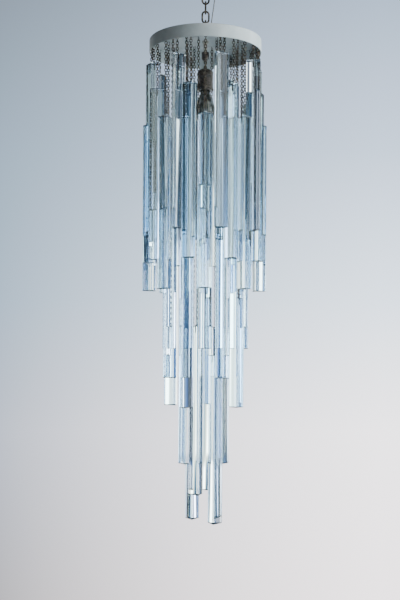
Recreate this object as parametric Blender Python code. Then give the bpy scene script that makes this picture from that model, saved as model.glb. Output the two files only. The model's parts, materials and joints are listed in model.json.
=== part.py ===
"""Cascade chandelier: a steel pan hung on a link chain, with three rings of glass prisms on fine chains.

The frame is in metres with +Z up. The origin is the inside of the top suspension link's crown, where the
ceiling hook bears. The front is towards -Y, and ring angles are counted from the front towards +X.
"""

import math

import bmesh
import bpy
from mathutils import Matrix, Vector

GAP = 0.0004  # clearance between pieces that bear on each other

# Suspension chain, top link first: oval links of round wire, each at right angles to the last
LINK_WIRE = 0.0045
LINK_LENGTH = 0.033
LINK_WIDTH = 0.021
LINK_ARC_STEPS = 6  # an even number leaves a flat at the crown
LINK_SIDES = 8

# Pan: a shallow pressed dish, open downwards
PAN_TOP = -0.118
PAN_RADIUS = 0.140
PAN_HEIGHT = 0.032
PAN_SHEET = 0.0012
PAN_CORNER = 0.003
PAN_LIP = 0.0024  # thickness of the folded lower edge
SEAT_RADIUS = 0.020  # the pressed seat under the eye
SEAT_RISE = 0.0008
SEAT_TOP = PAN_TOP + SEAT_RISE
PAN_STEPS = 72

# Lamp parts on the centre line
NIPPLE_RADIUS = 0.0050
NIPPLE_BORE = 0.0036
THREAD_CLEARANCE = 0.0003
CABLE_RADIUS = 0.0016
EYE_RADIUS = 0.01075  # to the wire's centre line
COLLAR_RADIUS = 0.008
COLLAR_TOP = -0.0885
WASHER_RADIUS = 0.0085
WASHER_THICKNESS = 0.0012
LOCK_NUT_THICKNESS = 0.005
LOCK_NUT_FLATS = 0.016
GRIP_TOP, GRIP_BOTTOM, GRIP_RADIUS = -0.147, -0.168, 0.0095
HOLDER_TOP, HOLDER_JOINT, HOLDER_BOTTOM = -0.187, -0.206, -0.243
HOLDER_RADIUS = 0.0195
HOLDER_WALL = 0.002
SCREW_CAP_RADIUS = 0.0132
SCREW_CAP_TOP = -0.2185
BULB_RADIUS = 0.025
LAMP_STEPS = 24

# Prisms: equilateral glass bars with a hook cast into the top
PRISM_SIDE = 0.038
PRISM_EDGE_RADIUS = 0.0015
PRISM_LENGTH = 0.415
CAP_RADIUS = 0.0052
CAP_HEIGHT = 0.0030
EYELET_RADIUS = 0.0036  # to the wire's centre line
EYELET_WIRE = 0.0018
EYELET_STEPS = 8

# Fine chains: the last link is modelled, and the links above it are one slender bar
STRAND_WIDTH = 0.0036
END_LINK_RISE = 0.0082  # between the wire centres at its two ends
END_LINK_RADIUS = 0.0028
END_LINK_ARC_STEPS = 4
HANGER_WIDTH = 0.006
HANGER_THICKNESS = 0.0018

# The cascade: nine heights one step apart, with one step left out between rings
FIRST_PRISM_TOP = PAN_TOP - 0.0675
TIER_STEP = 0.0718
TIERS_PER_RING = 3
RING_STEPS = TIERS_PER_RING + 1

# name, prism count, radius, angle of the first prism, tier of the first prism
RINGS = (
    ("outer", 24, 0.1345, 0.0, 2),
    ("middle", 12, 0.0920, 0.0, 0),
    ("inner", 6, 0.0450, -82.0, 0),
)

PIVOT_RISE = CAP_HEIGHT + 2 * EYELET_RADIUS - EYELET_WIRE - GAP  # of the hinge above the glass


def clear_scene():
    for leftover in list(bpy.data.objects):
        bpy.data.objects.remove(leftover, do_unlink=True)


def material(name, colour, roughness, metallic=0.0, transmission=0.0):
    made = bpy.data.materials.new(name)
    made.use_nodes = True
    shader = made.node_tree.nodes["Principled BSDF"]
    shader.inputs["Base Color"].default_value = (*colour, 1.0)
    shader.inputs["Roughness"].default_value = roughness
    shader.inputs["Metallic"].default_value = metallic
    shader.inputs["Transmission Weight"].default_value = transmission
    return made


def mesh_from(bm, name):
    bmesh.ops.recalc_face_normals(bm, faces=bm.faces)
    mesh = bpy.data.meshes.new(name)
    bm.to_mesh(mesh)
    bm.free()
    return mesh


def place(name, mesh, finish, matrix=None, parent=None):
    """A new object at a place in the shared frame, whatever it hangs from."""
    made = bpy.data.objects.new(name, mesh)
    bpy.context.scene.collection.objects.link(made)
    made.data.materials.clear()
    made.data.materials.append(finish)
    made.parent = parent
    if parent:
        made.matrix_parent_inverse = Matrix.Translation(-parent.location)
    made.matrix_basis = matrix or Matrix.Identity(4)
    made.data.shade_smooth()
    made.data.set_sharp_from_angle(angle=math.radians(32))
    return made


def lathe(profile, steps):
    """A closed outline of (radius, height) points turned about Z. Points on the axis become poles."""
    bm = bmesh.new()
    points = [bm.verts.new((radius, 0.0, height)) for radius, height in profile]
    edges = [bm.edges.new((a, b)) for a, b in zip(points, points[1:] + points[:1])]
    on_axis = [e for e in edges if max(abs(v.co.x) for v in e.verts) < 1e-9]
    turned = [e for e in edges if e not in on_axis]
    bmesh.ops.spin(
        bm,
        geom=points + turned,
        cent=(0, 0, 0),
        axis=(0, 0, 1),
        angle=math.tau,
        steps=steps,
        use_merge=True,
    )
    bmesh.ops.remove_doubles(bm, verts=bm.verts, dist=1e-6)
    bmesh.ops.delete(bm, geom=[e for e in bm.edges if not e.link_faces], context="EDGES")
    return bm


def arc(centre, radius, start, end, steps):
    """Points on an arc in a plane, from start to end in degrees, both ends included."""
    angles = [math.radians(start + (end - start) * i / steps) for i in range(steps + 1)]
    return [(centre[0] + radius * math.cos(a), centre[1] + radius * math.sin(a)) for a in angles]


def oval_path(length, width, steps):
    """The centre line of an oval link in X and Z, with its lowest point at the origin. An even step count
    gives each crown a level flat."""
    radius = width / 2
    turn = 180.0 / steps
    reach = radius / math.cos(math.radians(turn / 2))  # puts each flat, not each corner, on the radius
    low = arc((0.0, radius), reach, 180 + turn / 2, 360 - turn / 2, steps - 1)
    high = arc((0.0, length - radius), reach, turn / 2, 180 - turn / 2, steps - 1)
    return low + high


def bent_wire(bm, path, radius, sides, closed=True, normal=Vector((0, 1, 0))):
    """Sweeps a polygon along a flat path of (x, z) points. Closed paths join up, and open ones get end caps."""
    points = [Vector((x, 0.0, z)) for x, z in path]
    count = len(points)
    rings = []
    for i, point in enumerate(points):
        before = points[(i - 1) % count] if closed or i > 0 else point
        after = points[(i + 1) % count] if closed or i < count - 1 else point
        arriving = (point - before).normalized() if point != before else (after - point).normalized()
        leaving = (after - point).normalized() if after != point else arriving
        along = (arriving + leaving).normalized()
        across = normal.cross(along)
        stretch = 1.0 / max(0.3, along.dot(leaving))  # keeps the wire's width round a corner
        ring = []
        for side in range(sides):
            angle = math.tau * (side + 0.5) / sides
            reach = radius / math.cos(math.pi / sides)
            offset = across * (math.cos(angle) * reach * stretch) + normal * (math.sin(angle) * reach)
            ring.append(bm.verts.new(point + offset))
        rings.append(ring)
    pairs = zip(rings, rings[1:] + rings[:1]) if closed else zip(rings, rings[1:])
    for first, second in pairs:
        for side in range(sides):
            nxt = (side + 1) % sides
            bm.faces.new((first[side], first[nxt], second[nxt], second[side]))
    if not closed:
        bm.faces.new(rings[0])
        bm.faces.new(rings[-1])


def cylinder(bm, radius, low, high, sides, turned=0.0):
    """A solid cylinder on the Z axis between two heights. Its flats, not its corners, touch the radius."""
    place_at = Matrix.Translation((0, 0, (low + high) / 2)) @ Matrix.Rotation(turned, 4, "Z")
    bmesh.ops.create_cone(
        bm,
        cap_ends=True,
        segments=sides,
        radius1=radius / math.cos(math.pi / sides),
        radius2=radius / math.cos(math.pi / sides),
        depth=high - low,
        matrix=place_at,
    )


def combined(name, base, tools, operation, own_overlaps=False):
    """The mesh that a Boolean makes of one mesh and each of the others in turn."""
    body = bpy.data.objects.new(name, base)
    bpy.context.scene.collection.objects.link(body)
    helpers = []
    for tool in tools:
        helper = bpy.data.objects.new(name + "_tool", tool)
        bpy.context.scene.collection.objects.link(helper)
        cut = body.modifiers.new("cut", "BOOLEAN")
        cut.operation = operation
        cut.solver = "EXACT"
        cut.use_self = own_overlaps
        cut.object = helper
        helpers.append(helper)
    bpy.context.view_layer.update()
    graph = bpy.context.evaluated_depsgraph_get()
    made = bpy.data.meshes.new_from_object(body.evaluated_get(graph))
    for used in [body] + helpers:
        bpy.data.objects.remove(used, do_unlink=True)
    return made


def suspension_link(index, finish, parent):
    """One link of the suspension chain, with its origin on the wire it hangs from."""
    pitch = LINK_LENGTH - 2 * LINK_WIRE - GAP
    rise = LINK_LENGTH - LINK_WIRE  # between the wire centres at its two ends
    bm = bmesh.new()
    bent_wire(bm, oval_path(rise, LINK_WIDTH - LINK_WIRE, LINK_ARC_STEPS), LINK_WIRE / 2, LINK_SIDES)
    hangs_at = LINK_WIRE / 2 - index * pitch
    bearing = 0.0 if index == 0 else LINK_WIRE + GAP
    bmesh.ops.translate(bm, verts=bm.verts, vec=(0, 0, bearing - rise))
    turn = Matrix.Rotation(math.pi / 2 * (index % 2), 4, "Z")
    matrix = Matrix.Translation((0, 0, hangs_at - bearing)) @ turn
    name = f"suspension_link_{3 - index}"
    return place(name, mesh_from(bm, name), finish, matrix, parent)


def swing_hub():
    """The empty that carries the pan and all that hangs from it, on the wire of the lowest link."""
    pitch = LINK_LENGTH - 2 * LINK_WIRE - GAP
    hub = bpy.data.objects.new("canopy_pivot", None)
    hub.location = (0, 0, LINK_WIRE / 2 - 2 * pitch - (LINK_LENGTH - LINK_WIRE))
    bpy.context.scene.collection.objects.link(hub)
    return hub


def suspension_eye(finish, parent):
    """A ring with a tapped collar, screwed to the top of the nipple. The cable drops through its centre."""
    pitch = LINK_LENGTH - 2 * LINK_WIRE - GAP
    ring_top = LINK_WIRE / 2 - 3 * pitch
    path = arc((0.0, ring_top - EYE_RADIUS), EYE_RADIUS, 90, 450 - 360 / 16, 15)
    ring = bmesh.new()
    bent_wire(ring, path, LINK_WIRE / 2, LINK_SIDES)
    bmesh.ops.rotate(ring, verts=ring.verts, matrix=Matrix.Rotation(math.pi / 2, 3, "Z"))
    collar = bmesh.new()
    foot = SEAT_TOP + WASHER_THICKNESS + 2 * GAP
    cylinder(collar, COLLAR_RADIUS, foot, COLLAR_TOP, 16)
    wire_way = bmesh.new()
    cylinder(wire_way, CABLE_RADIUS + 0.0008, COLLAR_TOP - 0.02, COLLAR_TOP + 0.006, 12)
    tapped = bmesh.new()
    cylinder(tapped, NIPPLE_RADIUS + THREAD_CLEARANCE, foot - 0.004, COLLAR_TOP - 0.012, 16)
    joined = combined("eye", mesh_from(ring, "ring"), [mesh_from(collar, "collar")], "UNION")
    bored = combined("eye", joined, [mesh_from(wire_way, "way"), mesh_from(tapped, "tapped")], "DIFFERENCE")
    return place("suspension_eye", bored, finish, parent=parent)


def canopy_pan(finish, parent):
    """The pressed sheet: a flat top with a raised seat, a round corner, a straight rim and a folded edge."""
    bottom = PAN_TOP - PAN_HEIGHT
    inner = PAN_RADIUS - PAN_SHEET
    hole = NIPPLE_RADIUS + THREAD_CLEARANCE
    slope_end = SEAT_RADIUS + 2 * SEAT_RISE
    under = PAN_TOP - PAN_SHEET
    outer_corner = arc((PAN_RADIUS - PAN_CORNER, PAN_TOP - PAN_CORNER), PAN_CORNER, 90, 0, 3)
    inner_corner = arc(
        (PAN_RADIUS - PAN_CORNER, PAN_TOP - PAN_CORNER), PAN_CORNER - PAN_SHEET, 0, 90, 2
    )
    lip = [
        (PAN_RADIUS, bottom),
        (PAN_RADIUS - PAN_LIP, bottom),
        (PAN_RADIUS - PAN_LIP, bottom + 0.004),
        (inner, bottom + 0.005),
    ]
    profile = [(hole, SEAT_TOP), (SEAT_RADIUS, SEAT_TOP), (slope_end, PAN_TOP)]
    profile += outer_corner + lip + inner_corner
    profile += [(slope_end, under), (SEAT_RADIUS, under + SEAT_RISE), (hole, under + SEAT_RISE)]
    return place("canopy_pan", mesh_from(lathe(profile, PAN_STEPS), "canopy_pan"), finish, parent=parent)


def tube_between(outer, inner, high, low, steps=LAMP_STEPS):
    return lathe([(inner, high), (outer, high), (outer, low), (inner, low)], steps)


def lock_nut(finish, parent):
    top = SEAT_TOP - PAN_SHEET - GAP
    nut = bmesh.new()
    cylinder(nut, LOCK_NUT_FLATS / 2, top - LOCK_NUT_THICKNESS, top, 6)
    bore = bmesh.new()
    cylinder(bore, NIPPLE_RADIUS + THREAD_CLEARANCE, top - 2 * LOCK_NUT_THICKNESS, top + 0.002, 16)
    drilled = combined("nut", mesh_from(nut, "nut"), [mesh_from(bore, "bore")], "DIFFERENCE")
    return place("lower_lock_nut", drilled, finish, parent=parent)


def supply_cable(finish, parent):
    """The flex: down beside the chain, in through the eye, and along the nipple to the lamp holder."""
    entry = (0.0, COLLAR_TOP + 0.001)
    path = [(0.0240, -0.006), (0.0195, -0.040), (0.0150, -0.071)]
    path += arc((0.0052, -0.0745), 0.0100, -22, -112, 4)
    path += [entry, (0.0, -0.100), (0.0, HOLDER_TOP - 0.008)]
    bm = bmesh.new()
    bent_wire(bm, path, CABLE_RADIUS, 8, closed=False)
    return place("supply_cable", mesh_from(bm, "supply_cable"), finish, parent=parent)


def cord_grip(finish, parent):
    """A moulded cone on the nipple's lower end, with a small mouth that holds the flex."""
    bore = NIPPLE_RADIUS + THREAD_CLEARANCE
    mouth = CABLE_RADIUS + GAP
    seat = GRIP_BOTTOM + 0.007
    profile = [(bore, GRIP_TOP), (GRIP_RADIUS - 0.001, GRIP_TOP), (GRIP_RADIUS, GRIP_TOP - 0.001)]
    profile += [(GRIP_RADIUS, GRIP_BOTTOM + 0.006), (0.005, GRIP_BOTTOM), (mouth, GRIP_BOTTOM)]
    profile += [(mouth, seat), (bore, seat)]
    return place("cord_grip", mesh_from(lathe(profile, LAMP_STEPS), "cord_grip"), finish, parent=parent)


def lampholder(moulding, ceramic, parent):
    """Cap, shell and the ceramic insert between them."""
    mouth = CABLE_RADIUS + GAP
    inner = HOLDER_RADIUS - HOLDER_WALL
    dome = arc((HOLDER_RADIUS - 0.010, HOLDER_JOINT + 0.006), 0.010, 90, 0, 4)
    cap = [(mouth, HOLDER_TOP), (0.005, HOLDER_TOP), (0.006, HOLDER_TOP - 0.002)] + dome
    cap += [(HOLDER_RADIUS, HOLDER_JOINT), (inner, HOLDER_JOINT), (inner, HOLDER_JOINT + 0.006)]
    cap += [(0.0045, HOLDER_JOINT + 0.012), (mouth, HOLDER_JOINT + 0.012)]
    place("lampholder_cap", mesh_from(lathe(cap, LAMP_STEPS), "cap"), moulding, parent=parent)
    top = HOLDER_JOINT - GAP
    shell = [(inner, top), (HOLDER_RADIUS, top), (HOLDER_RADIUS, HOLDER_BOTTOM + 0.006)]
    shell += [(HOLDER_RADIUS + 0.0015, HOLDER_BOTTOM + 0.004), (HOLDER_RADIUS, HOLDER_BOTTOM)]
    shell += [(SCREW_CAP_RADIUS + 0.0012, HOLDER_BOTTOM), (SCREW_CAP_RADIUS + 0.0012, SCREW_CAP_TOP)]
    shell += [(inner, SCREW_CAP_TOP + 0.002)]
    place("lampholder_shell", mesh_from(lathe(shell, LAMP_STEPS), "shell"), moulding, parent=parent)
    insert = tube_between(inner - GAP, 0.0022, HOLDER_JOINT - 0.001, HOLDER_JOINT - 0.009)
    place("lampholder_insert", mesh_from(insert, "insert"), ceramic, parent=parent)


def bulb(glass, plated, parent):
    """A small reflector lamp: its screw cap in the shell, and the flared envelope below."""
    neck = HOLDER_BOTTOM + 0.001
    screw = [(0.0, SCREW_CAP_TOP), (0.006, SCREW_CAP_TOP), (0.0115, SCREW_CAP_TOP - 0.003)]
    screw += [(SCREW_CAP_RADIUS, SCREW_CAP_TOP - 0.005), (SCREW_CAP_RADIUS, neck), (0.0, neck)]
    place("bulb_screw_cap", mesh_from(lathe(screw, LAMP_STEPS), "screw"), plated, parent=parent)
    top = neck - GAP
    envelope = [(0.0, top), (0.0125, top), (0.0122, top - 0.007), (0.0145, top - 0.014)]
    envelope += [(0.0195, top - 0.026), (0.0236, top - 0.040)]
    envelope += arc((0.0, top - 0.062), BULB_RADIUS, 20, -60, 5)
    envelope += [(0.0, top - 0.088)]
    place("bulb_envelope", mesh_from(lathe(envelope, LAMP_STEPS), "envelope"), glass, parent=parent)


def twist(ring, index):
    """The turn of a prism about its own axis, in degrees from having one edge straight outwards."""
    if ring == "outer":
        # neighbours nest, one with its edge outwards and the next with its face outwards
        return 60.0 * (index % 2) + 9.0 * math.sin(2.4 * index)
    if ring == "middle":
        return 35.0 * index - 12.0
    return 82.0 - 60.0 * index + 14.0 * math.sin(1.9 * index)


def prism_mesh(turn):
    """One prism with its cast-in hook. The origin is the end link's wire, on which the eyelet hangs."""
    tip = PRISM_SIDE / math.sqrt(3)
    outline = []
    for corner in range(3):
        facing = turn + 120.0 * corner
        out = math.radians(facing)
        centre = (
            (tip - 2 * PRISM_EDGE_RADIUS) * math.cos(out),
            (tip - 2 * PRISM_EDGE_RADIUS) * math.sin(out),
        )
        outline += arc(centre, PRISM_EDGE_RADIUS, facing - 60, facing + 60, 2)
    glass = bmesh.new()
    base = glass.faces.new([glass.verts.new((x, y, -PIVOT_RISE - PRISM_LENGTH)) for x, y in outline])
    raised = bmesh.ops.extrude_face_region(glass, geom=[base])
    tops = [v for v in raised["geom"] if isinstance(v, bmesh.types.BMVert)]
    bmesh.ops.translate(glass, verts=tops, vec=(0, 0, PRISM_LENGTH))
    cap = bmesh.new()
    cylinder(cap, CAP_RADIUS, -PIVOT_RISE - 0.002, -PIVOT_RISE + CAP_HEIGHT, 8)
    eyelet = bmesh.new()
    centre = (0.0, EYELET_WIRE + GAP - EYELET_RADIUS)
    reach = EYELET_RADIUS / math.cos(math.pi / EYELET_STEPS)
    half = 180 / EYELET_STEPS
    bent_wire(eyelet, arc(centre, reach, half, 360 - half, EYELET_STEPS - 1), EYELET_WIRE / 2, 4)
    parts = [mesh_from(cap, "cap"), mesh_from(eyelet, "eyelet")]
    return combined("prism", mesh_from(glass, "glass"), parts, "UNION")


def ring_matrix(radius, degrees, height):
    """A frame at a place on a ring, with its X axis pointing outwards."""
    angle = math.radians(degrees - 90)
    spot = Vector((radius * math.cos(angle), radius * math.sin(angle), height))
    return Matrix.Translation(spot) @ Matrix.Rotation(angle, 4, "Z")


def places(ring_number, count, radius, first_angle, first_tier):
    """Index, angle and pivot height of each prism in a ring."""
    for index in range(count):
        tier = (first_tier + index) % TIERS_PER_RING
        top = FIRST_PRISM_TOP - TIER_STEP * (RING_STEPS * ring_number + tier)
        yield index, first_angle + 360.0 * index / count, top + PIVOT_RISE


def chain_strand(bm, pivot, hanger_top):
    """The end link, in the plane across the swing, and the slender bar that stands for the links above."""
    start = len(bm.verts)
    bent_wire(bm, oval_path(END_LINK_RISE, 2 * END_LINK_RADIUS, END_LINK_ARC_STEPS), EYELET_WIRE / 2, 4)
    bm.verts.ensure_lookup_table()
    bmesh.ops.rotate(bm, verts=bm.verts[start:], matrix=Matrix.Rotation(math.pi / 2, 3, "Z"))
    low = END_LINK_RISE - EYELET_WIRE * 0.35
    cylinder(bm, STRAND_WIDTH / 2, low, hanger_top - pivot, 4, turned=math.pi / 4)


def hanger_with_chains(ring, number, finish, parent):
    """The strip ring under the pan, with every chain of this ring hanging from it, as one solid."""
    name, count, radius, first_angle, first_tier = ring
    top = PAN_TOP - PAN_SHEET - GAP
    low = top - HANGER_THICKNESS
    strip = tube_between(radius + HANGER_WIDTH / 2, radius - HANGER_WIDTH / 2, top, low, 2 * count)
    strands = bmesh.new()
    for _, angle, pivot in places(number, count, radius, first_angle, first_tier):
        strand = bmesh.new()
        chain_strand(strand, pivot, top - HANGER_THICKNESS / 2)
        bmesh.ops.transform(strand, verts=strand.verts, matrix=ring_matrix(radius, angle, pivot))
        held = mesh_from(strand, "strand")
        strands.from_mesh(held)
        bpy.data.meshes.remove(held)
    made = combined(name, mesh_from(strip, "strip"), [mesh_from(strands, "strands")], "UNION", True)
    return place(f"{name}_hanger_and_chains", made, finish, parent=parent)


def build():
    clear_scene()
    lacquer = material("white_lacquer", (0.62, 0.65, 0.66), 0.55)
    dark_wire = material("aged_steel", (0.16, 0.15, 0.14), 0.42, metallic=1.0)
    fine_chain = material("aged_brass_chain", (0.20, 0.18, 0.14), 0.40, metallic=1.0)
    glass = material("pale_blue_glass", (0.74, 0.86, 0.95), 0.03, transmission=1.0)
    bakelite = material("brown_bakelite", (0.05, 0.04, 0.035), 0.35)
    ceramic = material("ceramic", (0.80, 0.78, 0.74), 0.5)
    plated = material("nickel_plate", (0.62, 0.60, 0.56), 0.3, metallic=1.0)
    bulb_glass = material("mirrored_bulb_glass", (0.70, 0.72, 0.72), 0.15)
    flex = material("grey_flex", (0.25, 0.25, 0.26), 0.5)

    for index in range(3):
        suspension_link(index, dark_wire, None)
    hub = swing_hub()
    suspension_eye(dark_wire, hub)
    canopy_pan(lacquer, hub)
    washer_top = SEAT_TOP + GAP + WASHER_THICKNESS
    washer = tube_between(WASHER_RADIUS, NIPPLE_RADIUS + THREAD_CLEARANCE, washer_top, SEAT_TOP + GAP)
    place("pan_washer", mesh_from(washer, "washer"), plated, parent=hub)
    nipple = tube_between(NIPPLE_RADIUS, NIPPLE_BORE, COLLAR_TOP - 0.0125, GRIP_BOTTOM + 0.0075)
    place("threaded_nipple", mesh_from(nipple, "nipple"), plated, parent=hub)
    lock_nut(plated, hub)
    supply_cable(flex, hub)
    cord_grip(bakelite, hub)
    lampholder(bakelite, ceramic, hub)
    bulb(bulb_glass, plated, hub)

    for number, ring in enumerate(RINGS):
        name, count, radius, first_angle, first_tier = ring
        hanger_with_chains(ring, number, fine_chain, hub)
        for index, angle, pivot in places(number, count, radius, first_angle, first_tier):
            mesh = prism_mesh(twist(name, index))
            place(f"{name}_prism_{index + 1:02d}", mesh, glass, ring_matrix(radius, angle, pivot), hub)


build()
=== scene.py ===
"""The looks of the cascade chandelier.

Every visible piece is built here, at the place that the CAD frame gives it.
"""

import json
import math
import random

import bmesh
import bpy
from mathutils import Matrix, Vector, noise


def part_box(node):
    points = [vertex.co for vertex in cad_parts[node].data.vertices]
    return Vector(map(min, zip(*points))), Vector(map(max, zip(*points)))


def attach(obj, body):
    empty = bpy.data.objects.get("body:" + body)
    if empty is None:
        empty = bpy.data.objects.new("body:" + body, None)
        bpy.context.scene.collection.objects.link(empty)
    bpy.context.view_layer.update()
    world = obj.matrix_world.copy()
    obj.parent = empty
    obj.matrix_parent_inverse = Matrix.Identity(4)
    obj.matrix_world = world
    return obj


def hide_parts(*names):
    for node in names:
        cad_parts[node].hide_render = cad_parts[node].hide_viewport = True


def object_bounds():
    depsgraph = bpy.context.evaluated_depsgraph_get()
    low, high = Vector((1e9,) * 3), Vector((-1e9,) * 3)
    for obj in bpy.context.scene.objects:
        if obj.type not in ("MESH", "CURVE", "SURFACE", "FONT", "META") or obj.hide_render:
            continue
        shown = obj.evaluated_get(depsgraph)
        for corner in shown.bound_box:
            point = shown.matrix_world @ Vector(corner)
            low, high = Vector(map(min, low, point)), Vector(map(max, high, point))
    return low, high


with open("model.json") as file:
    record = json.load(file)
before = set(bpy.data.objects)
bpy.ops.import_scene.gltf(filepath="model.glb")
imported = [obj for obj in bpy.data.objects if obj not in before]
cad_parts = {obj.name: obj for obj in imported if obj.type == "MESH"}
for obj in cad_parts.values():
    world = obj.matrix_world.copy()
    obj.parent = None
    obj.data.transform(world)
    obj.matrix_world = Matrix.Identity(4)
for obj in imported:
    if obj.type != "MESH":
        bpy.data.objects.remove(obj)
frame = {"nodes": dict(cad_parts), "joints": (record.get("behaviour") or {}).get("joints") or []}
cad_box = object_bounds()

ACROSS = Vector((0, 1, 0))  # the normal of wires that are drawn in the XZ plane

# Camera: below the pan and about level with the middle of the cascade, so the pan is seen from underneath
CAMERA_PLACE = Vector((-0.0095, -2.5, -0.891))
CAMERA_LENS = 60.0
CAMERA_RISE = 1 / 12  # the lens is shifted up, so that the upright edges stay parallel
CAMERA_ROLL = math.radians(0.3)
AMBIENT = (0.095, 0.106, 0.112)  # the light that reaches painted parts from all round

# Glass prisms
PRISM_LENGTH = 0.415
EDGE_RADIUS = 0.0015
EDGE_STEPS = 4
FACE_STEPS = 10
END_CHAMFER = 0.0018
PRISM_SLICES = 22
HOLLOW = 0.00012  # how far the middle of a cast face sinks
RIPPLE = 0.00002
GLASS_DROP = 0.008  # from the hinge down to the glass
PIN_DEPTH = 0.017  # of the hook's pin, cast into the glass

DEEPEST_GLASS = 8  # surfaces that a ray bends at
MOST_MIRRORINGS = 4

# Fine chains
CHAIN_WIRE = 0.0020
CHAIN_LINK = 0.0107
CHAIN_WIDTH = 0.0077
LOOP_DEPTH = 0.010  # of the loops that hold the chains under the pan
LOOP_WIRE = 0.0016
STRIP_THICKNESS = 0.0018


# ---------------------------------------------------------------- mesh helpers


def mesh_of(name, verts, faces):
    mesh = bpy.data.meshes.new(name)
    mesh.from_pydata([tuple(v) for v in verts], [], faces)
    bm = bmesh.new()
    bm.from_mesh(mesh)
    bmesh.ops.remove_doubles(bm, verts=bm.verts, dist=1e-7)
    bmesh.ops.recalc_face_normals(bm, faces=bm.faces)
    bm.to_mesh(mesh)
    bm.free()
    return mesh


def joined(parts):
    """One (verts, faces) pair from many."""
    verts, faces = [], []
    for part_verts, part_faces in parts:
        start = len(verts)
        verts += part_verts
        faces += [tuple(i + start for i in face) for face in part_faces]
    return verts, faces


def moved(part, matrix):
    verts, faces = part
    return [matrix @ Vector(v) for v in verts], faces


def arc(centre, radius, start, end, steps):
    """Points on an arc in a plane, from start to end in degrees, both ends included."""
    angles = [math.radians(start + (end - start) * i / steps) for i in range(steps + 1)]
    return [(centre[0] + radius * math.cos(a), centre[1] + radius * math.sin(a)) for a in angles]


def turned(profile, steps, closed=True):
    """A profile of (radius, height) points turned about Z. An open profile starts and ends on the axis."""
    verts, faces = [], []
    count = len(profile)
    for i in range(steps):
        angle = math.tau * i / steps
        verts += [Vector((r * math.cos(angle), r * math.sin(angle), z)) for r, z in profile]
    for i in range(steps):
        here, there = i * count, (i + 1) % steps * count
        for j in range(count if closed else count - 1):
            nxt = (j + 1) % count
            corners = [here + j, there + j, there + nxt, here + nxt]
            if profile[j][0] < 1e-9:
                corners.pop(1)
            elif profile[nxt][0] < 1e-9:
                corners.pop(2)
            faces.append(tuple(corners))
    return verts, faces


def tube(path, radius, sides, flat_normal, closed=False):
    """Round wire along a path of 3-D points that lie flat, across flat_normal."""
    points = [Vector(p) for p in path]
    count = len(points)
    verts, faces = [], []
    for i, point in enumerate(points):
        before = points[i - 1] if closed or i > 0 else point
        after = points[(i + 1) % count] if closed or i < count - 1 else point
        other = (after - before).normalized().cross(flat_normal).normalized()
        for k in range(sides):
            angle = math.tau * k / sides
            out, up = radius * math.cos(angle), radius * math.sin(angle)
            verts.append(point + flat_normal * out + other * up)
    for i in range(count if closed else count - 1):
        here, there = i * sides, (i + 1) % count * sides
        for k in range(sides):
            nxt = (k + 1) % sides
            faces.append((here + k, here + nxt, there + nxt, there + k))
    if not closed:
        faces.append(tuple(range(sides))[::-1])
        faces.append(tuple((count - 1) * sides + k for k in range(sides)))
    return verts, faces


def oval(length, width, steps):
    """The closed centre line of a link in X and Z, with the middle of its lower crown at the origin."""
    radius = width / 2
    low = arc((0.0, radius), radius, 180, 360, steps)
    high = arc((0.0, length - radius), radius, 0, 180, steps)
    return [Vector((x, 0.0, z)) for x, z in low + high]


def link(length, width, wire, arc_steps, sides):
    """A link of round wire, by its outer sizes. The lower crown's wire centre is the origin."""
    path = oval(length - wire, width - wire, arc_steps)
    return tube(path, wire / 2, sides, ACROSS, closed=True)


def show(name, body, mesh, finish, sharp=40.0):
    """A new visible piece that rides on a body."""
    made = bpy.data.objects.new(name, mesh)
    bpy.context.scene.collection.objects.link(made)
    for each in finish if isinstance(finish, tuple) else (finish,):
        mesh.materials.append(each)
    mesh.shade_smooth()
    mesh.set_sharp_from_angle(angle=math.radians(sharp))
    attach(made, body)
    return made


# ---------------------------------------------------------------- material helpers


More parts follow.
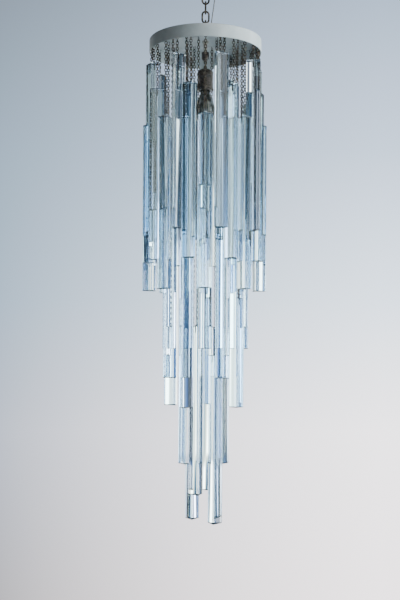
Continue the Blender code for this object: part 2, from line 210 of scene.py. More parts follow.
class Nodes:
    """A short way to write a node tree."""

    def __init__(self, tree):
        self.tree = tree
        self.out = None

    def add(self, kind, **settings):
        node = self.tree.nodes.new("ShaderNode" + kind)
        for key, value in settings.items():
            setattr(node, key, value)
        return node

    def set(self, socket, value):
        if isinstance(value, bpy.types.NodeSocket):
            self.tree.links.new(value, socket)
        else:
            socket.default_value = value

    def math(self, operation, a, b=0.0):
        node = self.add("Math", operation=operation)
        self.set(node.inputs[0], a)
        self.set(node.inputs[1], b)
        return node.outputs[0]

    def mix(self, factor, a, b, blend="MIX"):
        node = self.add("Mix", data_type="RGBA", blend_type=blend)
        self.set(node.inputs["Factor"], factor)
        self.set(node.inputs[6], a)
        self.set(node.inputs[7], b)
        return node.outputs[2]

    def number_mix(self, factor, a, b):
        node = self.add("Mix", data_type="FLOAT")
        self.set(node.inputs["Factor"], factor)
        self.set(node.inputs[2], a)
        self.set(node.inputs[3], b)
        return node.outputs[0]

    def between(self, value, low, high, to_low=0.0, to_high=1.0, straight=False):
        node = self.add("MapRange", interpolation_type="LINEAR" if straight else "SMOOTHSTEP")
        for socket, v in zip(node.inputs[:5], (value, low, high, to_low, to_high)):
            self.set(socket, v)
        return node.outputs[0]

    def noise(self, scale, detail=3.0, roughness=0.55, stretch=(1, 1, 1), distortion=0.0):
        place = self.add("TexCoord").outputs["Object"]
        mapping = self.add("Mapping")
        self.set(mapping.inputs["Vector"], place)
        mapping.inputs["Scale"].default_value = stretch
        node = self.add("TexNoise")
        self.set(node.inputs["Vector"], mapping.outputs[0])
        node.inputs["Scale"].default_value = scale
        node.inputs["Detail"].default_value = detail
        node.inputs["Roughness"].default_value = roughness
        node.inputs["Distortion"].default_value = distortion
        return node.outputs["Fac"]

    def line_noise(self, along, scale, detail=2.0, roughness=0.5):
        """Noise that changes along one number only, so that it makes straight bars."""
        node = self.add("TexNoise", noise_dimensions="1D")
        self.set(node.inputs["W"], along)
        node.inputs["Scale"].default_value = scale
        node.inputs["Detail"].default_value = detail
        node.inputs["Roughness"].default_value = roughness
        return node.outputs["Fac"]

    def bump(self, height, strength, distance):
        node = self.add("Bump")
        self.set(node.inputs["Height"], height)
        node.inputs["Strength"].default_value = strength
        node.inputs["Distance"].default_value = distance
        return node.outputs[0]


def new_material(name):
    made = bpy.data.materials.new(name)
    made.use_nodes = True
    nodes = Nodes(made.node_tree)
    shader = made.node_tree.nodes["Principled BSDF"]
    nodes.out = made.node_tree.nodes["Material Output"]
    return made, nodes, shader


def rgb(r, g, b):
    return (r, g, b, 1.0)


# ---------------------------------------------------------------- materials


def glass(name, tint):
    """Pale-blue cast glass.

    Rays that have met many prisms go straight on, so that the middle of the cascade stays clear. So do rays
    at their last mirroring, and shadow rays.
    """
    made, n, shader = new_material(name)
    shader.inputs["Base Color"].default_value = rgb(*tint)
    shader.inputs["Transmission Weight"].default_value = 1.0
    shader.inputs["IOR"].default_value = 1.5
    smear = n.noise(9.0, detail=2.0, stretch=(1, 1, 0.12))
    n.set(shader.inputs["Roughness"], n.between(smear, 0.55, 0.8, 0.0, 0.015))
    clear = n.add("BsdfTransparent")
    clear.inputs["Color"].default_value = rgb(*[0.4 + 0.6 * c for c in tint])
    path = n.add("LightPath")
    deep = n.math("GREATER_THAN", path.outputs["Ray Depth"], DEEPEST_GLASS - 0.5)
    mirrored = n.math("GREATER_THAN", path.outputs["Glossy Depth"], MOST_MIRRORINGS - 0.5)
    through = n.math("MAXIMUM", n.math("MAXIMUM", deep, mirrored), path.outputs["Is Shadow Ray"])
    both = n.add("MixShader")
    n.set(both.inputs[0], through)
    n.set(both.inputs[1], shader.outputs[0])
    n.set(both.inputs[2], clear.outputs[0])
    n.set(n.out.inputs["Surface"], both.outputs[0])
    return made


def glass_end_painted_shade():
    """The lower end of a bar: clear when looked into; seen along its surface it shows a near-black diffuse, a
    painted shade that draws a dark line at the bar's foot.
    """
    made = glass("glass_end_painted_dark_line", (0.82, 0.91, 0.97))
    n = Nodes(made.node_tree)
    out = made.node_tree.nodes["Material Output"]
    clear = out.inputs["Surface"].links[0].from_socket
    matt = n.add("BsdfDiffuse")
    blotch = n.noise(200.0, detail=3.0)
    # Painted shade: blotchy near-black tones that the end shows where it is seen edge-on
    dark = n.mix(n.between(blotch, 0.35, 0.7), rgb(0.010, 0.015, 0.020), rgb(0.05, 0.07, 0.085))
    n.set(matt.inputs["Color"], dark)
    facing = n.add("LayerWeight").outputs["Facing"]
    both = n.add("MixShader")
    n.set(both.inputs[0], n.between(facing, 0.70, 0.86, 0.0, 0.9))
    n.set(both.inputs[1], clear)
    n.set(both.inputs[2], matt.outputs[0])
    n.set(out.inputs["Surface"], both.outputs[0])
    return made


def ground_edge_painted_dark():
    """The ground edge round each end of a prism: matt ground glass whose grey is made near-black, partly the
    edge's own tone and partly painted shade that darkens the rims of the ends.
    """
    made, n, shader = new_material("ground_glass_edge_painted_dark")
    blotch = n.noise(300.0, detail=3.0)
    # Partly painted shade: the grey runs down to near-black, darker than a ground edge is, to darken the rims
    # of the ends
    grey = n.mix(n.between(blotch, 0.35, 0.7), rgb(0.020, 0.027, 0.035), rgb(0.09, 0.115, 0.13))
    n.set(shader.inputs["Base Color"], grey)
    n.set(shader.inputs["Roughness"], n.between(blotch, 0.3, 0.8, 0.35, 0.6))
    shader.inputs["Transmission Weight"].default_value = 0.15
    return made


def painted_pan():
    """Old white lacquer: faint mottling, a faint reddish blush and a few chips to grey primer."""
    made, n, shader = new_material("aged_white_lacquer")
    cloud = n.noise(14.0, detail=5.0)
    base = n.mix(n.between(cloud, 0.35, 0.7), rgb(0.47, 0.52, 0.53), rgb(0.62, 0.65, 0.66))
    blush = n.noise(45.0, detail=2.0)
    base = n.mix(n.between(blush, 0.58, 0.75, 0.0, 0.35), base, rgb(0.56, 0.52, 0.50))
    chip = n.noise(120.0, detail=4.0, roughness=0.7)
    base = n.mix(n.between(chip, 0.70, 0.74, 0.0, 0.8), base, rgb(0.24, 0.24, 0.23))
    n.set(shader.inputs["Base Color"], base)
    n.set(shader.inputs["Roughness"], n.between(cloud, 0.3, 0.75, 0.42, 0.62))
    shader.inputs["Specular IOR Level"].default_value = 0.3
    peel = n.noise(420.0, detail=2.0)
    n.set(shader.inputs["Normal"], n.bump(peel, 0.15, 0.0004))
    return made


def dark_metal(name, dark, light, scale, rough=(0.34, 0.6)):
    """Aged plated wire: dark tarnish with paler rubbed patches and a little pitting."""
    made, n, shader = new_material(name)
    patch = n.noise(scale, detail=5.0, roughness=0.65)
    n.set(shader.inputs["Base Color"], n.mix(n.between(patch, 0.38, 0.68), rgb(*dark), rgb(*light)))
    shader.inputs["Metallic"].default_value = 0.9
    n.set(shader.inputs["Roughness"], n.between(patch, 0.3, 0.75, rough[1], rough[0]))
    pits = n.noise(scale * 6, detail=3.0)
    n.set(shader.inputs["Normal"], n.bump(pits, 0.25, 0.0002))
    return made


def bakelite():
    made, n, shader = new_material("brown_bakelite")
    swirl = n.noise(70.0, detail=6.0, distortion=1.5)
    brown = n.mix(n.between(swirl, 0.4, 0.65), rgb(0.018, 0.016, 0.014), rgb(0.085, 0.068, 0.055))
    n.set(shader.inputs["Base Color"], brown)
    dust = n.noise(25.0, detail=4.0)
    n.set(shader.inputs["Roughness"], n.between(dust, 0.35, 0.7, 0.22, 0.48))
    n.set(shader.inputs["Normal"], n.bump(dust, 0.05, 0.0004))
    return made


def ceramic():
    made, n, shader = new_material("glazed_ceramic")
    speck = n.noise(260.0, detail=3.0)
    cream = n.mix(n.between(speck, 0.6, 0.75), rgb(0.80, 0.78, 0.72), rgb(0.55, 0.50, 0.44))
    n.set(shader.inputs["Base Color"], cream)
    shader.inputs["Roughness"].default_value = 0.28
    shader.inputs["Coat Weight"].default_value = 0.4
    return made


def mirrored_bulb():
    """Glass silvered on its inside from the neck down to the widest part, and frosted below."""
    made, n, shader = new_material("mirrored_bulb_glass")
    height = n.add("SeparateXYZ")
    n.set(height.inputs[0], n.add("TexCoord").outputs["Object"])
    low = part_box("bulb_envelope")[0].z
    silvered = n.between(height.outputs[2], low + 0.009, low + 0.013)
    haze = n.noise(90.0, detail=4.0)
    silver = n.mix(n.between(haze, 0.35, 0.7), rgb(0.10, 0.105, 0.09), rgb(0.26, 0.27, 0.26))
    n.set(shader.inputs["Base Color"], n.mix(silvered, rgb(0.80, 0.84, 0.86), silver))
    n.set(shader.inputs["Metallic"], n.math("MULTIPLY", silvered, 0.95))
    n.set(shader.inputs["Roughness"], n.between(haze, 0.3, 0.8, 0.12, 0.3))
    shader.inputs["Coat Weight"].default_value = 0.6
    return made


def flex():
    """Grey twisted flex with a fine diagonal lay."""
    made, n, shader = new_material("grey_flex")
    place = n.add("TexCoord").outputs["Object"]
    wave = n.add("TexWave", wave_type="BANDS", bands_direction="DIAGONAL")
    n.set(wave.inputs["Vector"], place)
    wave.inputs["Scale"].default_value = 320.0
    wave.inputs["Distortion"].default_value = 1.0
    lay = wave.outputs["Fac"]
    n.set(shader.inputs["Base Color"], n.mix(lay, rgb(0.12, 0.12, 0.125), rgb(0.26, 0.26, 0.27)))
    shader.inputs["Roughness"].default_value = 0.55
    n.set(shader.inputs["Normal"], n.bump(lay, 0.4, 0.0003))
    return made


# ---------------------------------------------------------------- prisms and their chains


def ring_frame(joint):
    """The hinge's place, with X pointing outwards from the lamp's centre line."""
    pivot = Vector(joint["pos_m"])
    outwards = Vector((pivot.x, pivot.y, 0)).normalized()
    turn = Matrix.Rotation(math.atan2(outwards.y, outwards.x), 4, "Z")
    return Matrix.Translation(pivot) @ turn


def corner_facing(node, pivot):
    """The direction, in degrees, of one corner of the prism's section, read from its CAD solid."""
    middle = pivot.z - GLASS_DROP - PRISM_LENGTH / 2
    foot = [v.co for v in frame["nodes"][node].data.vertices if v.co.z < middle]
    furthest = max(foot, key=lambda co: (co.xy - pivot.xy).length)
    reach = furthest.xy - pivot.xy
    return math.degrees(math.atan2(reach.y, reach.x)), reach.length


def prism_outline(facing, tip, inset, down, seed):
    """The rounded triangle at one height. The cast faces are a little hollow and rippled."""
    reach = tip - EDGE_RADIUS
    centres = [Vector((reach, 0)), Vector((reach, 0)), Vector((reach, 0))]
    outline = []
    for corner in range(3):
        middle = facing + 120.0 * corner
        centres[corner].rotate(Matrix.Rotation(math.radians(middle), 2))
    for corner in range(3):
        middle = facing + 120.0 * corner
        here, there = centres[corner], centres[(corner + 1) % 3]
        outline += arc(here, EDGE_RADIUS - inset, middle - 60, middle + 60, EDGE_STEPS)
        outwards = Vector((math.cos(math.radians(middle + 60)), math.sin(math.radians(middle + 60))))
        for step in range(1, FACE_STEPS):
            along = step / FACE_STEPS
            rippled = noise.noise(Vector((along * 4.5, down * 3.0, seed * 2.7 + corner * 9.1)))
            calm = min(1.0, 4 * min(along, 1 - along))
            sink = HOLLOW * 4 * along * (1 - along) - RIPPLE * rippled * calm
            outline.append(here.lerp(there, along) + outwards * (EDGE_RADIUS - inset - sink))
    return [Vector(point) for point in outline]


def prism_glass(name, joint, facing, tip, seed):
    """A cast bar with flat ends and small ground edges round them."""
    pivot = Vector(joint["pos_m"])
    inner = PRISM_LENGTH - 2 * END_CHAMFER
    levels = [(0.0, END_CHAMFER * 0.8)]
    levels += [(END_CHAMFER + inner * k / PRISM_SLICES, 0.0) for k in range(PRISM_SLICES + 1)]
    levels += [(PRISM_LENGTH, END_CHAMFER * 0.8)]
    verts, faces = [], []
    for down, inset in levels:
        outline = prism_outline(facing, tip, inset, down, seed)
        verts += [(pivot.x + p.x, pivot.y + p.y, pivot.z - GLASS_DROP - down) for p in outline]
    count = len(outline)
    for level in range(len(levels) - 1):
        here, there = level * count, (level + 1) * count
        for k in range(count):
            nxt = (k + 1) % count
            faces.append((here + k, here + nxt, there + nxt, there + k))
    faces.append(tuple(range(count))[::-1])
    last = (len(levels) - 1) * count
    faces.append(tuple(last + k for k in range(count)))
    mesh = mesh_of(name, verts, faces)
    for face in mesh.polygons:
        if 0.2 < abs(face.normal.z) < 0.95:
            face.material_index = 1
        elif face.normal.z < -0.95:
            face.material_index = 2
    return mesh


def hook(name, joint):
    """The bronze cap on the glass, its ring, and the barbed pin cast into the bar."""
    wire = 0.0016
    ring_radius = 0.0032
    rise = CHAIN_WIRE / 2 + wire / 2 + 0.0001
    ring_path = [Vector((x, 0, z)) for x, z in arc((0, rise - ring_radius), ring_radius, 0, 345, 23)]
    ring = tube(ring_path, wire / 2, 8, ACROSS, closed=True)
    low = -GLASS_DROP
    foot = low - PIN_DEPTH
    outline = [(0.0, foot), (0.0012, foot + 0.0002), (0.0018, foot + 0.0012)]
    barbs = 5
    for barb in range(barbs):
        at = foot + 0.0024 + barb * (PIN_DEPTH - 0.0034) / barbs
        outline += [(0.0021, at), (0.0014, at + 0.0012)]
    outline += [(0.0019, low + 0.00005), (0.0050, low + 0.00005), (0.0052, low + 0.0004)]
    outline += [(0.0050, low + 0.0012), (0.0042, low + 0.0021), (0.0026, low + 0.0029)]
    outline += [(0.0014, low + 0.0034), (0.0, low + 0.0036)]
    verts, faces = moved(joined([ring, turned(outline, 20, closed=False)]), ring_frame(joint))
    return mesh_of(name, verts, faces)


def loop_floor(strip_low):
    """The height of the wire's centre at the bottom of the loops under the pan."""
    return strip_low - LOOP_DEPTH + LOOP_WIRE / 2


def chain(name, joint, strip_low, seed):
    """Oval links from the prism's ring up to the loop under the pan, each at right angles to the last."""
    place = ring_frame(joint)
    pivot = Vector(joint["pos_m"])
    span = loop_floor(strip_low) + (LOOP_WIRE - CHAIN_WIRE) / 2 - pivot.z
    count = round(span / (CHAIN_LINK - 2 * CHAIN_WIRE))
    count += 1 - count % 2
    length = span / count + 2 * CHAIN_WIRE
    one = link(length, CHAIN_WIDTH, CHAIN_WIRE, 5 if count < 60 else 4, 6)
    heading = math.degrees(math.atan2(pivot.y, pivot.x))
    square = 90 * round(heading / 90) - heading  # the chain settles square to the room between its ends
    chance = random.Random(seed)
    parts = []
    for i in range(count):
        free = min(1.0, min(i, count - 1 - i) / 7)
        angle = 90 * ((i + 1) % 2) + free * (square + chance.uniform(-16, 16))
        turn = Matrix.Rotation(math.radians(angle), 4, "Z")
        parts.append(moved(one, place @ Matrix.Translation((0, 0, i * span / count)) @ turn))
    verts, faces = joined(parts)
    mesh = bpy.data.meshes.new(name)
    mesh.from_pydata([tuple(v) for v in verts], [], faces)
    return mesh


def strip_ring(name, radius, low, high):
    """The painted strip that is spot-welded under the pan."""
    half, round_off = 0.003, 0.0004
    outline = [(radius - half, low + round_off), (radius - half + round_off, low)]
    outline += [(radius + half - round_off, low), (radius + half, low + round_off)]
    outline += [(radius + half, high), (radius - half, high)]
    return mesh_of(name, *turned(outline[::-1], 192))


def loops(name, joints, strip_low):
    """A wire loop under the strip for each chain."""
    half = 0.0030
    floor = loop_floor(strip_low)
    parts = []
    for joint in joints:
        bow = arc((0, floor + half), half, 180, 360, 10)
        path = [(-half, strip_low + 0.0006)] + bow + [(half, strip_low + 0.0006)]
        lowered = [Vector((x, 0, z - joint["pos_m"][2])) for x, z in path]
        wire = tube(lowered, LOOP_WIRE / 2, 8, ACROSS)
        parts.append(moved(wire, ring_frame(joint)))
    return mesh_of(name, *joined(parts))


def build_cascade(lacquer):
    finishes = [
        glass("prism_glass_a", (0.76, 0.885, 0.97)),
        glass("prism_glass_b", (0.84, 0.925, 0.98)),
        glass("prism_glass_c", (0.67, 0.835, 0.97)),
    ]
    edge, end = ground_edge_painted_dark(), glass_end_painted_shade()
    fine = dark_metal("tarnished_chain", (0.022, 0.019, 0.015), (0.21, 0.17, 0.13), 180.0)
    cap = dark_metal("tarnished_cap", (0.022, 0.019, 0.016), (0.10, 0.085, 0.065), 240.0)
    swings = {j["child"]: j for j in frame["joints"] if "_prism_" in j["child"]}
    chance = random.Random(3)
    for ring in ("outer", "middle", "inner"):
        members = {child: joint for child, joint in swings.items() if child.startswith(ring)}
        node = f"{ring}_hanger_and_chains"
        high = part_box(node)[1].z
        low = high - STRIP_THICKNESS
        radius = Vector(members[f"{ring}_prism_01"]["pos_m"]).xy.length
        strip_mesh = strip_ring(f"{ring}_strip", radius, low, high)
        strip = show(f"{ring}_strip", "pan", strip_mesh, lacquer)
        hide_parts(node)
        show(f"{ring}_loops", "pan", loops(f"{ring}_loops", members.values(), low), fine)
        for index, (child, joint) in enumerate(members.items()):
            facing, tip = corner_facing(child, Vector(joint["pos_m"]))
            seed = index + 100 * len(ring)
            bar_mesh = prism_glass(child, joint, facing, tip, seed)
            bar_finish = (chance.choice(finishes), edge, end)
            bar = show(child + "_glass", child, bar_mesh, bar_finish, sharp=35)
            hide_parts(child)
            show(child + "_hook", child, hook(child + "_hook", joint), cap)
            strand = child.replace("prism", "chain")
            show(strand, "pan", chain(strand, joint, low, seed), fine)


# ---------------------------------------------------------------- pan, suspension and lamp


def build_pan(lacquer):
    low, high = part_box("canopy_pan")
    radius, top, bottom = high.x, high.z - 0.0008, low.z
    sheet, corner = 0.0012, 0.003
    hole = 0.0053
    outline = [(hole, top + 0.0008), (0.020, top + 0.0008), (0.0206, top + 0.0006)]
    outline += [(0.0212, top + 0.0001), (0.022, top)]
    outline += arc((radius - corner, top - corner), corner, 90, 0, 8)
    outline += [(radius, top - 0.010), (radius, bottom + 0.006), (radius, bottom + 0.0011)]
    outline += arc((radius - 0.0011, bottom + 0.0011), 0.0011, 0, -180, 8)
    outline += [(radius - 0.0022, bottom + 0.0042), (radius - sheet, bottom + 0.0050)]
    outline += arc((radius - corner, top - corner), corner - sheet, 0, 90, 6)
    outline += [(0.022, top - sheet), (0.0206, top - sheet + 0.0006), (hole, top - sheet + 0.0008)]
    verts, faces = turned(outline[::-1], 256)
    for v in verts:
        reach = v.xy.length
        if reach < 1e-6:
            continue
        dent = noise.noise(Vector((v.x * 16, v.y * 16, v.z * 16)))
        ease = min(1.0, max(0.0, (reach - 0.03) / 0.04))
        v.z += 0.00022 * dent * ease
        v.xy = v.xy * (1 - 0.00016 / reach * (1 + dent) * ease)
    made = show("pan_shell", "pan", mesh_of("pan_shell", verts, faces), lacquer, sharp=50.0)
    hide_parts("canopy_pan")


def build_suspension(steel):
    """Smooth links in place of the CAD's faceted ones, each with its butt weld."""
    for number, turn in ((1, 0), (2, 90), (3, 0)):
        node = f"suspension_link_{number}"
        low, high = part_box(node)
        wire = 0.0045
        path = oval(high.z - low.z - wire, 0.021 - wire, 14)
        part = tube(path, wire / 2, 14, ACROSS, closed=True)
        verts, faces = part
        for v in verts:
            # the weld swells the wire a little, half-way up one side
            near = math.exp(-(((v.z - (high.z - low.z) * 0.43) / 0.0016) ** 2)) if v.x > 0 else 0.0
            centre = Vector((0.021 / 2 - wire / 2, 0, v.z))
            v += (v - centre) * (0.14 * near)
            v.x += 0.00015 * noise.noise(v * 180)
        centre_line = (low + high) / 2
        place = Matrix.Translation((centre_line.x, centre_line.y, low.z + wire / 2))
        part = moved((verts, faces), place @ Matrix.Rotation(math.radians(turn), 4, "Z"))
        body = {1: "lower_link", 2: "middle_link", 3: "top_link"}[number]
        made = show(f"chain_link_{number}", body, mesh_of(node, *part), steel)
        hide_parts(node)


def build_eye(steel):
    """The cast eye: a ring that thickens into a turned collar."""
    low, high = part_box("suspension_eye")
    wire, radius = 0.0045, 0.01075
    middle = high.z - wire / 2 - radius
    path = [Vector((0, x, z)) for x, z in arc((0, middle), radius, 0, 360 - 360 / 40, 39)]
    ring = tube(path, wire / 2, 14, Vector((1, 0, 0)), closed=True)
    top = middle - radius
    outline = [(0.0024, low.z), (0.0078, low.z), (0.0080, low.z + 0.0004), (0.0080, low.z + 0.006)]
    outline += [(0.0074, low.z + 0.0068), (0.0066, low.z + 0.0072), (0.0066, low.z + 0.011)]
    outline += [(0.0074, low.z + 0.0115), (0.0080, low.z + 0.0125), (0.0078, top - 0.0062)]
    outline += [(0.0062, top - 0.0030), (0.0040, top - 0.0006), (0.0024, top + 0.0002)]
    collar = turned(outline, 40)
    verts, faces = joined([ring, collar])
    made = show("eye", "pan", mesh_of("eye", verts, faces), steel)
    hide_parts("suspension_eye")


def build_cable(finish):
    """The flex comes down beside the chain, enters the eye and runs on to the lamp holder."""
    radius = 0.0015
    points = [(0.0240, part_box("supply_cable")[1].z), (0.0221, -0.020), (0.0195, -0.040), (0.0172, -0.056), (0.0150, -0.070)]
    points += arc((0.0052, -0.0745), 0.0100, 5, -105, 12)
    points += [(0.0006, -0.0862), (0.0, -0.090), (0.0, -0.120), (0.0, -0.160), (0.0, -0.194)]
    smooth = []
    for a, b in zip(points, points[1:]):
        smooth += [(a[0] + (b[0] - a[0]) * k / 3, a[1] + (b[1] - a[1]) * k / 3) for k in range(3)]
    path = [Vector((x, 0, z)) for x, z in smooth + points[-1:]]
    verts, faces = tube(path, radius, 12, ACROSS)
    made = show("flex_cable", "pan", mesh_of("flex_cable", verts, faces), finish)
    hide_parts("supply_cable")


def build_fittings(nickel, moulding):
    """Washer, nipple with its thread, lock nut and cord grip."""
    low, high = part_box("pan_washer")
    outline = [(0.0053, low.z), (0.0083, low.z), (0.0085, low.z + 0.0002), (0.0085, high.z - 0.0002)]
    outline += [(0.0083, high.z), (0.0053, high.z)]
    made = show("washer", "pan", mesh_of("washer", *turned(outline, 48)), nickel)
    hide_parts("pan_washer")

    low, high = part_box("threaded_nipple")
    turns = round((high.z - low.z) / 0.001)
    outline = [(0.0036, low.z)]
    for k in range(turns):
        at = low.z + (high.z - low.z) * k / turns
        outline += [(0.0046, at), (0.0050, at + 0.0005)]
    outline += [(0.0046, high.z), (0.0036, high.z)]
    made = show("nipple", "pan", mesh_of("nipple", *turned(outline, 36)), nickel, sharp=30)
    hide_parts("threaded_nipple")

    low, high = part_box("lower_lock_nut")
    made = show("lock_nut", "pan", hexagon_nut(low.z, high.z), nickel, sharp=25)
    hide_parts("lower_lock_nut")

    low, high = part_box("cord_grip")
    top, bottom, radius = high.z, low.z, high.x
    outline = [(0.0053, top), (radius - 0.0016, top), (radius - 0.0006, top - 0.0004), (radius, top - 0.0014)]
    for groove in range(4):
        at = top - 0.0035 - 0.0028 * groove
        outline += [(radius, at), (radius - 0.0005, at - 0.0004)]
        outline += [(radius - 0.0005, at - 0.0010), (radius, at - 0.0014)]
    outline += [(radius - 0.0004, bottom + 0.0050), (0.0062, bottom + 0.0008), (0.0054, bottom)]
    outline += [(0.0020, bottom), (0.0020, bottom + 0.007), (0.0053, bottom + 0.007)]
    made = show("grip", "pan", mesh_of("grip", *turned(outline[::-1], 48)), moulding)
    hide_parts("cord_grip")


def hexagon_nut(low, high):
    """A nut with the corners turned off on both faces."""
    flats, bore = 0.008, 0.0053
    verts, faces = [], []
    steps = 60
    levels = ((bore, low), (0.0075, low), (None, low + 0.0010))
    levels += ((None, high - 0.0010), (0.0075, high), (bore, high))
    for i in range(steps):
        angle = math.tau * i / steps
        across = math.radians((math.degrees(angle) + 30) % 60 - 30)
        for radius, z in levels:
            reach = min(flats / math.cos(across), 0.0090) if radius is None else radius
            verts.append(Vector((reach * math.cos(angle), reach * math.sin(angle), z)))
    count = len(levels)
    for i in range(steps):
        here, there = i * count, (i + 1) % steps * count
        for j in range(count):
            nxt = (j + 1) % count
            faces.append((here + j, there + j, there + nxt, here + nxt))
    return mesh_of("lock_nut", verts, faces)


def lamp_piece(name, node, mesh, finish, sharp=40.0):
    """A piece of the lamp in place of a CAD node.

    The glass does not draw the lamp, so that no displaced second lamp shows in a prism at the side.
    """
    made = show(name, "pan", mesh, finish, sharp)
    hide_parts(node)
    made.visible_transmission = False


def build_holder(moulding, white):
    """The lamp holder: its domed cap, its ribbed shell with the shade ring, and the ceramic core."""
    low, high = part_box("lampholder_cap")
    radius = high.x
    joint = low.z
    outline = [(0.0020, high.z), (0.0050, high.z), (0.0056, high.z - 0.0006), (0.0060, high.z - 0.0020)]
    outline += arc((radius - 0.0100, joint + 0.0060), 0.0100, 90, 10, 12)
    outline += [(radius, joint + 0.0050), (radius, joint + 0.0002), (radius - 0.0002, joint)]
    outline += [(radius - 0.002, joint), (radius - 0.002, joint + 0.0060)]
    outline += [(0.0045, joint + 0.012), (0.0020, joint + 0.012)]
    mesh = mesh_of("holder_cap", *turned(outline[::-1], 64))
    lamp_piece("holder_cap", "lampholder_cap", mesh, moulding)

    low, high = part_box("lampholder_shell")
    radius = high.x - 0.0015
    outline = [(radius - 0.002, high.z), (radius - 0.0003, high.z), (radius, high.z - 0.0003)]
    outline += [(radius, high.z - 0.006)]
    for rib in range(5):
        at = high.z - 0.0075 - rib * 0.0032
        outline += [(radius, at), (radius - 0.0007, at - 0.0006)]
        outline += [(radius - 0.0007, at - 0.0014), (radius, at - 0.0020)]
    outline += [(radius, low.z + 0.0060), (radius + 0.0012, low.z + 0.0050)]
    outline += [(radius + 0.0015, low.z + 0.0040), (radius + 0.0015, low.z + 0.0004)]
    outline += [(radius + 0.0011, low.z), (0.0144, low.z), (0.0144, low.z + 0.0245)]
    outline += [(radius - 0.002, low.z + 0.0265)]
    mesh = mesh_of("holder_shell", *turned(outline[::-1], 64))
    lamp_piece("holder_shell", "lampholder_shell", mesh, moulding)

    low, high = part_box("lampholder_insert")
    outline = [(0.0022, low.z), (high.x - 0.0006, low.z), (high.x, low.z + 0.0006), (high.x, high.z - 0.0006)]
    outline += [(high.x - 0.0006, high.z), (0.0022, high.z)]
    mesh = mesh_of("holder_core", *turned(outline, 48))
    lamp_piece("holder_core", "lampholder_insert", mesh, white)


def build_bulb(silver, nickel):
    """The reflector bulb and its screw cap."""
    low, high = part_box("bulb_screw_cap")
    outline = [(0.0, high.z), (0.0045, high.z), (0.0055, high.z - 0.0006), (0.0108, high.z - 0.0028)]
    threads = 5
    for k in range(threads):
        at = high.z - 0.0045 - k * 0.0036
        outline += [(0.0124, at + 0.0009), (0.0131, at), (0.0131, at - 0.0008), (0.0124, at - 0.0018)]
    outline += [(0.0128, low.z + 0.0006), (0.0128, low.z), (0.0, low.z)]
    mesh = mesh_of("bulb_thread", *turned(outline[::-1], 48, closed=False))
    lamp_piece("bulb_thread", "bulb_screw_cap", mesh, nickel)

    low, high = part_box("bulb_envelope")
    top = high.z
    outline = [(0.0, top), (0.0118, top), (0.0125, top - 0.0008), (0.0121, top - 0.0070)]
    outline += [(0.0131, top - 0.0110), (0.0151, top - 0.0160), (0.0182, top - 0.0230)]
    outline += [(0.0212, top - 0.0310), (0.0235, top - 0.0400), (0.0246, top - 0.0470)]
    outline += arc((0.0, top - 0.062), 0.0250, 30, -90, 24)[4:]
    mesh = mesh_of("bulb_glass", *turned(outline[::-1], 64, closed=False))
    lamp_piece("bulb_glass", "bulb_envelope", mesh, silver, sharp=60)


# ---------------------------------------------------------------- stage


def backdrop(n):
    """What the camera sees behind the lamp: a wall that brightens towards a window on the right."""
    window = n.add("SeparateXYZ")
    n.set(window.inputs[0], n.add("TexCoord").outputs["Window"])
    x, y = window.outputs[0], window.outputs[1]
    rows = (
        (0.00, (0.74, 0.73, 0.78), (3.10, 2.85, 2.95)),
        (0.28, (0.84, 0.92, 1.10), (3.15, 3.05, 3.20)),
        (0.50, (0.60, 0.80, 1.02), (1.95, 2.25, 2.62)),
        (0.75, (0.48, 0.65, 0.84), (1.10, 1.35, 1.72)),
        (1.00, (0.34, 0.43, 0.54), (0.66, 0.85, 1.12)),
    )
    colour = None
    before = 0.0
    for height, left, right in rows:
        row = n.mix(n.between(x, 0.0, 0.95, straight=True), rgb(*left), rgb(*right))
        colour = row if colour is None else n.mix(n.between(y, before, height, straight=True), colour, row)
        before = height
    return colour


def bands(n, value, rows):
    """A colour that goes through the rows as the value rises."""
    colour = rgb(*rows[0][1])
    for (before, _), (here, shade) in zip(rows, rows[1:]):
        colour = n.mix(n.between(value, before, here), colour, rgb(*shade))
    return colour


# The light in the upright bars, from the darkest furniture to the brightest pane
WINDOW_BANDS = (
    (0.31, (0.02, 0.03, 0.04)),
    (0.38, (0.06, 0.11, 0.19)),
    (0.44, (0.17, 0.37, 0.80)),
    (0.49, (0.44, 0.78, 1.28)),
    (0.53, (1.00, 1.16, 1.26)),
    (0.575, (1.9, 1.9, 1.85)),
    (0.61, (4.6, 4.6, 4.6)),
    (0.63, (22.0, 22.0, 22.0)),
)
WALL_BANDS = (
    (0.31, (0.020, 0.028, 0.032)),
    (0.38, (0.045, 0.060, 0.070)),
    (0.44, (0.075, 0.115, 0.165)),
    (0.49, (0.120, 0.17, 0.22)),
    (0.53, (0.18, 0.20, 0.22)),
    (0.575, (0.38, 0.42, 0.43)),
    (0.61, (1.2, 1.25, 1.28)),
    (0.63, (5.0, 5.1, 5.2)),
)


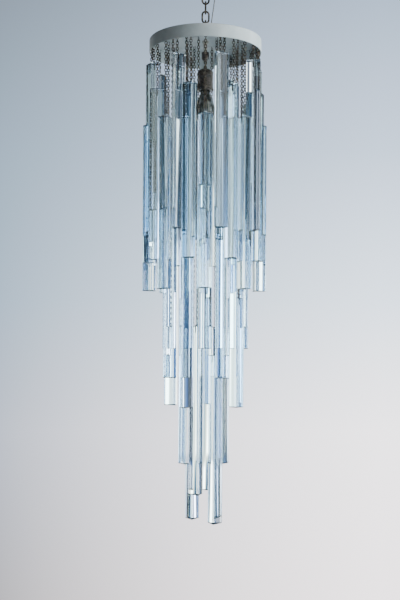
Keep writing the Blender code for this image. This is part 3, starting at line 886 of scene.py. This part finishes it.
def room(n):
    """What the glass and the metal see: windows, pale walls and dark furniture in upright bars.

    Above the windows the wall is dim, with the same bars in it. Below them the bars are narrower.
    """
    way = n.add("SeparateXYZ")
    n.set(way.inputs[0], n.add("TexCoord").outputs["Generated"])
    azimuth = n.math("ARCTAN2", way.outputs[0], way.outputs[1])
    height = way.outputs[2]
    bars = n.line_noise(azimuth, 6.5, detail=1.0, roughness=0.5)
    sills = n.line_noise(n.math("ADD", azimuth, 40.0), 8.0, detail=1.0)
    narrow = n.line_noise(n.math("ADD", azimuth, 60.0), 15.0, detail=1.0)
    calmer = n.between(narrow, 0.0, 1.0, 0.11, 0.91, straight=True)
    bars = n.number_mix(n.between(height, -0.12, -0.10), calmer, bars)
    strong = n.between(bars, 0.0, 1.0, -0.095, 1.085, straight=True)
    casts = n.line_noise(n.math("ADD", azimuth, 20.0), 5.0, detail=1.0)
    ledge = n.math("SUBTRACT", height, n.math("MULTIPLY", n.math("SUBTRACT", sills, 0.5), 0.42))
    seen = n.mix(n.between(ledge, 0.092, 0.102), bands(n, strong, WINDOW_BANDS), bands(n, bars, WALL_BANDS))
    cast = n.mix(n.between(casts, 0.42, 0.56), rgb(0.98, 0.94, 1.06), rgb(0.94, 1.03, 0.90))
    side = n.between(way.outputs[0], -0.9, 0.9, 0.70, 1.35)
    side = n.math("MULTIPLY", side, n.between(height, -0.15, -0.09, 0.72, 1.0))
    return n.mix(1.0, n.mix(1.0, seen, cast, blend="MULTIPLY"), side, blend="MULTIPLY")


def build_world():
    """A pale studio: one look for the camera, one for glass and metal, and a dim one for painted parts."""
    world = bpy.data.worlds.new("studio")
    bpy.context.scene.world = world
    world.use_nodes = True
    n = Nodes(world.node_tree)
    background = world.node_tree.nodes["Background"]
    path = n.add("LightPath")
    around = room(n)
    mirrored = n.mix(1.0, around, rgb(0.5, 0.5, 0.5), blend="MULTIPLY")
    colour = n.mix(path.outputs["Is Glossy Ray"], rgb(*AMBIENT), mirrored)
    colour = n.mix(path.outputs["Is Transmission Ray"], colour, around)
    n.set(background.inputs["Color"], n.mix(path.outputs["Is Camera Ray"], colour, backdrop(n)))
    background.inputs["Strength"].default_value = 1.0


def pale_floor():
    """A plain pale floor that fades out with distance."""
    made, n, shader = new_material("pale_floor")
    grain = n.noise(3.0, detail=4.0)
    n.set(shader.inputs["Base Color"], n.mix(grain, rgb(0.70, 0.70, 0.70), rgb(0.76, 0.76, 0.76)))
    shader.inputs["Roughness"].default_value = 0.8
    place = n.add("TexCoord").outputs["Object"]
    reach = n.add("VectorMath", operation="LENGTH")
    n.set(reach.inputs[0], place)
    clear = n.add("BsdfTransparent")
    both = n.add("MixShader")
    under = n.add("NewGeometry").outputs["Backfacing"]
    n.set(both.inputs[0], n.math("MAXIMUM", n.between(reach.outputs["Value"], 0.7, 1.9), under))
    n.set(both.inputs[1], shader.outputs[0])
    n.set(both.inputs[2], clear.outputs[0])
    n.set(n.out.inputs["Surface"], both.outputs[0])
    return made


def build_stage():
    bm = bmesh.new()
    bmesh.ops.create_circle(bm, cap_ends=True, radius=1.9, segments=96)
    mesh = bpy.data.meshes.new("floor")
    bm.to_mesh(mesh)
    bm.free()
    floor = bpy.data.objects.new("floor", mesh)
    floor.location = (0, 0, cad_box[0].z - 0.75)
    mesh.materials.append(pale_floor())
    bpy.context.scene.collection.objects.link(floor)


def area_light(name, place, aim, size, power, colour):
    data = bpy.data.lights.new(name, "AREA")
    data.shape = "RECTANGLE"
    data.size, data.size_y = size
    data.energy = power
    data.color = colour
    made = bpy.data.objects.new(name, data)
    made.location = place
    made.rotation_euler = (Vector(aim) - Vector(place)).to_track_quat("-Z", "Y").to_euler()
    made.visible_transmission = False
    made.visible_glossy = False
    bpy.context.scene.collection.objects.link(made)


def build_lights():
    area_light("window_right", (2.2, -0.5, -0.1), (0, 0, -0.5), (3.4, 2.6), 200, (0.86, 0.96, 1.0))
    area_light("fill_left", (-2.6, -1.6, -0.3), (0, 0, -0.5), (1.5, 2.0), 1.5, (0.88, 0.94, 1.0))
    area_light("soft_behind", (-0.8, 2.6, 1.3), (0, 0, -0.3), (2.0, 1.4), 70, (1.0, 0.99, 0.97))


def build_camera():
    data = bpy.data.cameras.new("camera")
    data.lens = CAMERA_LENS
    data.shift_y = CAMERA_RISE
    made = bpy.data.objects.new("camera", data)
    turn = Matrix.Rotation(math.pi / 2, 4, "X") @ Matrix.Rotation(CAMERA_ROLL, 4, "Z")
    made.matrix_world = Matrix.Translation(CAMERA_PLACE) @ turn
    bpy.context.scene.collection.objects.link(made)
    bpy.context.scene.camera = made


def build():
    steel = dark_metal("aged_bronze_wire", (0.035, 0.028, 0.022), (0.22, 0.18, 0.14), 90.0)
    nickel = dark_metal("dull_nickel", (0.28, 0.26, 0.23), (0.55, 0.53, 0.49), 120.0, rough=(0.25, 0.42))
    moulding = bakelite()
    lacquer = painted_pan()
    build_cascade(lacquer)
    build_pan(lacquer)
    build_suspension(steel)
    build_eye(steel)
    build_cable(flex())
    build_fittings(nickel, moulding)
    build_holder(moulding, ceramic())
    build_bulb(mirrored_bulb(), nickel)
    build_world()
    build_stage()
    build_lights()
    build_camera()


build()
